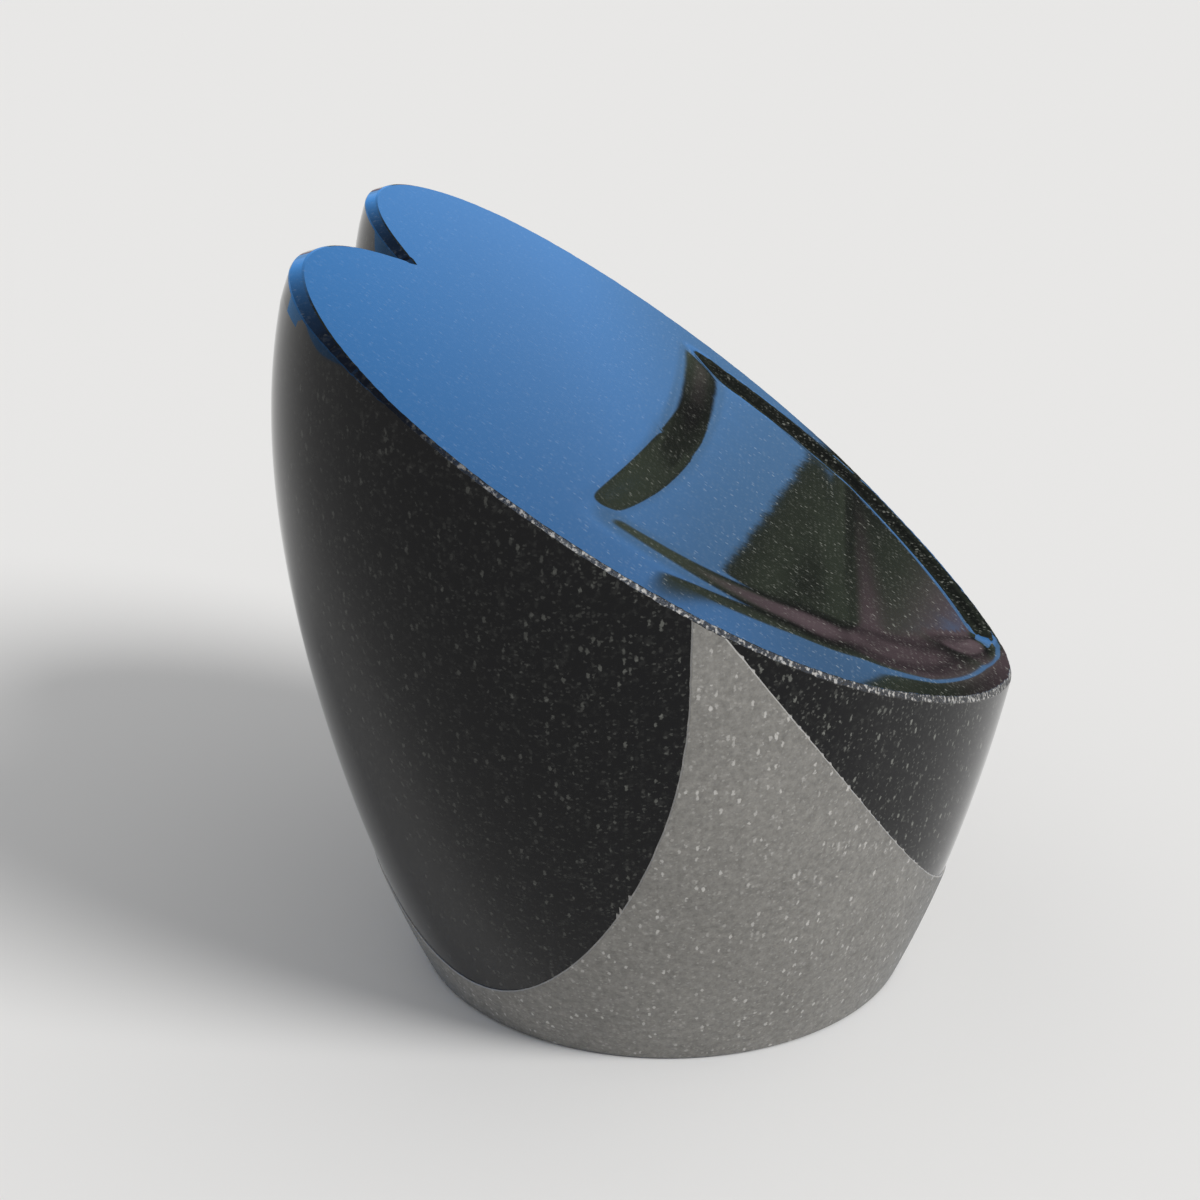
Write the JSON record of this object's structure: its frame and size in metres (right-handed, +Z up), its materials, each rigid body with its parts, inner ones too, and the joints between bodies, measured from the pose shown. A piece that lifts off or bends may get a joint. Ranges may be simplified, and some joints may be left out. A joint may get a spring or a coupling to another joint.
{
  "type": "heart-topped headstone",
  "caption": "Low dark stone memorial: a heart-shaped sloping face with a cleft and a shallow basin on a body that narrows to a round foot.",
  "frame": {"origin": "centre of the round flat foot, on the ground", "axes": "+Z up; +X down the slope toward the heart's point; the plane Y = 0 cuts the heart through its cleft and point"},
  "size_m": [0.3281, 0.4026, 0.354],
  "materials": {
    "stone": "black diabase, polished on the face and lobes, honed matt grey on the sides and foot"
  },
  "bodies": {
    "root": {"headstone": "stone"}
  },
  "joints": []
}
